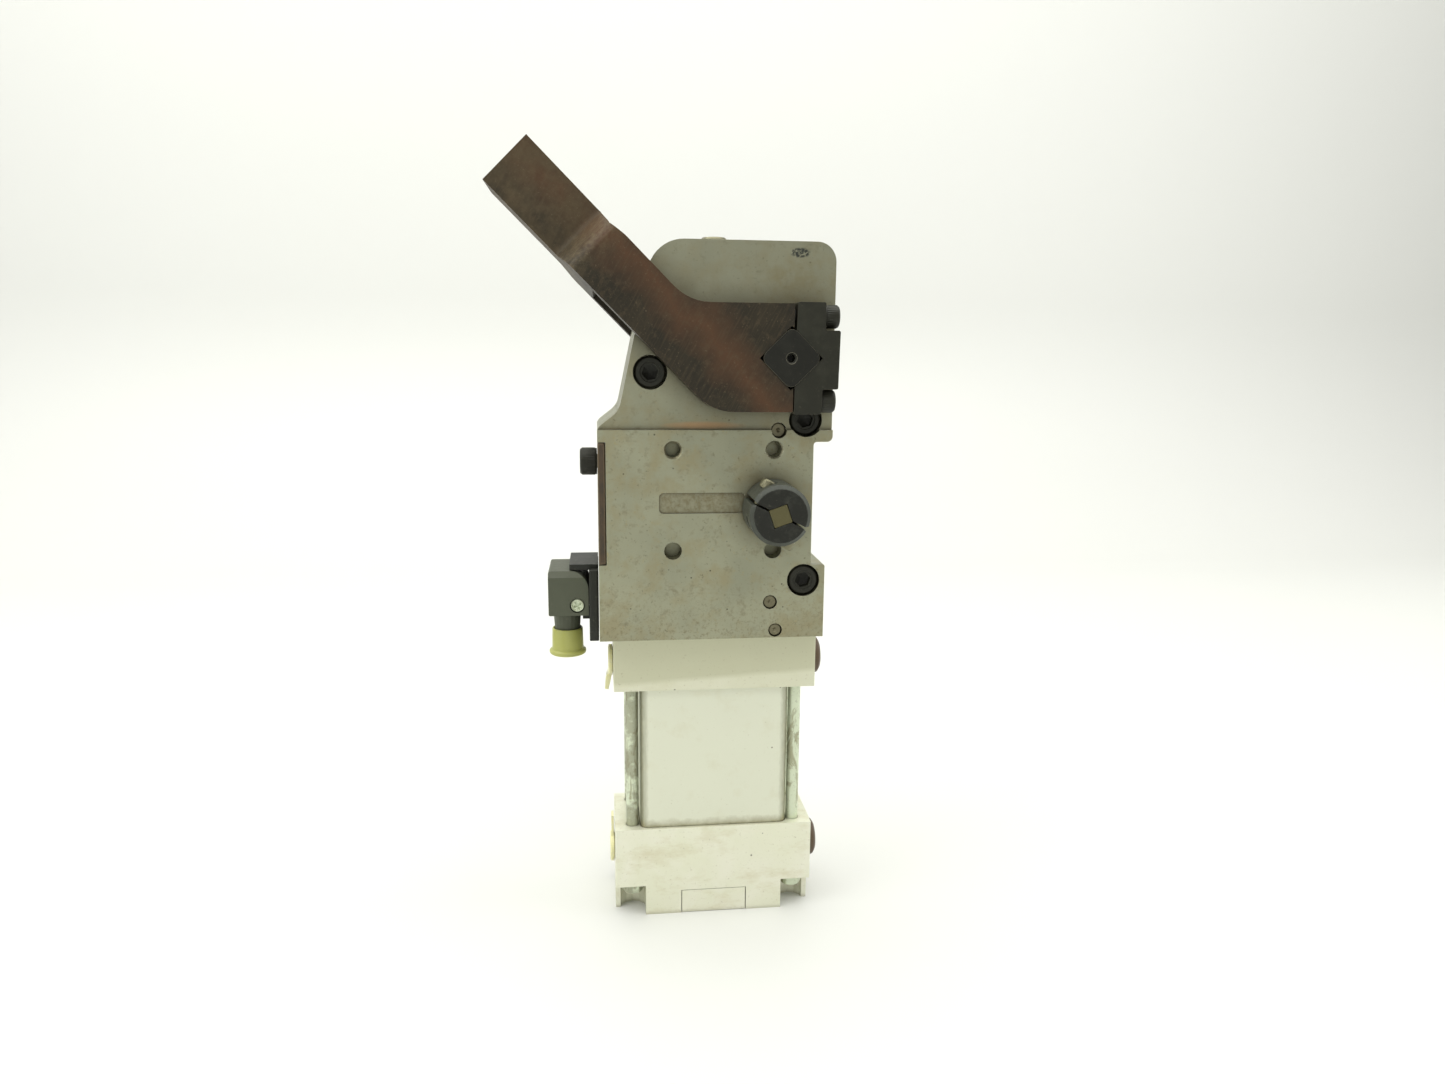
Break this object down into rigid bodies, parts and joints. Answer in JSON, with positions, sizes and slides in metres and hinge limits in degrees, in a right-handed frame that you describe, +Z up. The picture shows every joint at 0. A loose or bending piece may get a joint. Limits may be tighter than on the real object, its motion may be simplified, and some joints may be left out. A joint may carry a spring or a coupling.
{
  "type": "pneumatic clamping gripper",
  "caption": "Slim tie-rod air cylinder under a two-shell steel head whose crosshead swings a fork arm from open to closed, with a split hub for a hand lever.",
  "frame": {"origin": "on the cylinder axis at the underside of the foot, midway through the thickness", "axes": "+Z up along the cylinder axis to the head, +X to the side the arm closes over, Y across the thickness with the hand-lever hub on the -Y side"},
  "size_m": [0.1529, 0.0975, 0.3575],
  "materials": {
    "machined_steel": "ground and milled, dull, lightly stained",
    "milled_aluminium": "milled, satin",
    "anodised_aluminium": "drawn, matt, dark along the corners",
    "browned_casting": "heat-browned skin, bare at the edges",
    "black_oxide": "black oxide, satin",
    "zinc_plate": "zinc plated",
    "bearing_bronze": "bored and turned",
    "hardened_steel": "ground and hardened",
    "brown_plate": "brown oxide",
    "seal_rubber": "matt",
    "black_plastic": "moulded, matt",
    "grey_plastic": "moulded, matt",
    "yellow_plastic": "soft moulded, translucent"
  },
  "bodies": {
    "frame": {"front_housing": "machined_steel", "rear_housing": "machined_steel", "cover_plate": "brown_plate", "cover_screw": "black_oxide", "stop_screw": "hardened_steel", "housing_screw_upper_left": "black_oxide", "housing_screw_upper_right": "black_oxide", "housing_screw_lower_right": "black_oxide", "locating_pin_upper": "hardened_steel", "locating_pin_middle": "hardened_steel", "locating_pin_lower": "hardened_steel", "arm_bush_front": "bearing_bronze", "arm_bush_rear": "bearing_bronze", "hand_bush_front": "bearing_bronze", "hand_bush_rear": "bearing_bronze", "guide_rail_front": "hardened_steel", "guide_rail_rear": "hardened_steel", "bottom_cap": "milled_aluminium", "top_cap": "milled_aluminium", "barrel": "anodised_aluminium", "foot_insert": "milled_aluminium", "tie_rod_front_left": "zinc_plate", "tie_rod_front_right": "zinc_plate", "tie_rod_rear_left": "zinc_plate", "tie_rod_rear_right": "zinc_plate", "rod_seal": "seal_rubber", "rod_bush": "bearing_bronze", "port_plug_upper": "brown_plate", "port_plug_lower": "brown_plate", "dust_plug_upper": "yellow_plastic", "dust_plug_lower": "yellow_plastic", "sensor_plate": "black_plastic", "sensor_plug": "grey_plastic", "plug_screw": "zinc_plate", "connector_neck": "grey_plastic", "dust_cap": "yellow_plastic", "sensor_cassette": "black_plastic"},
    "arm": {"arm_shaft": "black_oxide", "drive_lever": "hardened_steel", "lever_pin": "hardened_steel", "fork_arm": "browned_casting", "clamp_block_front": "black_oxide", "clamp_block_rear": "black_oxide", "clamp_screw_front_lower": "black_oxide", "clamp_screw_front_upper": "black_oxide", "clamp_screw_rear_lower": "black_oxide", "clamp_screw_rear_upper": "black_oxide"},
    "roller": {"lever_roller": "hardened_steel"},
    "rod": {"piston": "milled_aluminium", "piston_seal": "seal_rubber", "piston_rod": "hardened_steel", "rod_nut": "zinc_plate", "crosshead": "hardened_steel", "sensor_target": "zinc_plate"},
    "hand_lever": {"hand_shaft": "hardened_steel", "hand_finger": "hardened_steel", "hub_half_upper": "black_oxide", "hub_half_lower": "black_oxide", "hub_screw_upper": "zinc_plate", "hub_screw_lower": "zinc_plate"}
  },
  "joints": [
    {"name": "arm_swing", "type": "hinge", "parent": "frame", "child": "arm", "pos_m": [0.0287, 0, 0.2665], "axis": [0, 1, 0], "range_deg": [0, 135]},
    {"name": "rod_slide", "type": "slide", "parent": "frame", "child": "rod", "axis": [0, 0, 1], "range_m": [0, 0.0484]},
    {"name": "hand_lever_turn", "type": "hinge", "parent": "frame", "child": "hand_lever", "pos_m": [0.0235, 0, 0.2005], "axis": [0, 1, 0], "range_deg": [0, 135]},
    {"name": "roller_spin", "type": "hinge", "parent": "arm", "child": "roller", "pos_m": [0.01932, 0, 0.24386], "axis": [0, 1, 0], "continuous": true}
  ],
  "couplings": [
    {"joint": "rod_slide", "follows": "arm_swing", "m_per_rad": 0.0205},
    {"joint": "hand_lever_turn", "follows": "arm_swing", "ratio": 1}
  ]
}
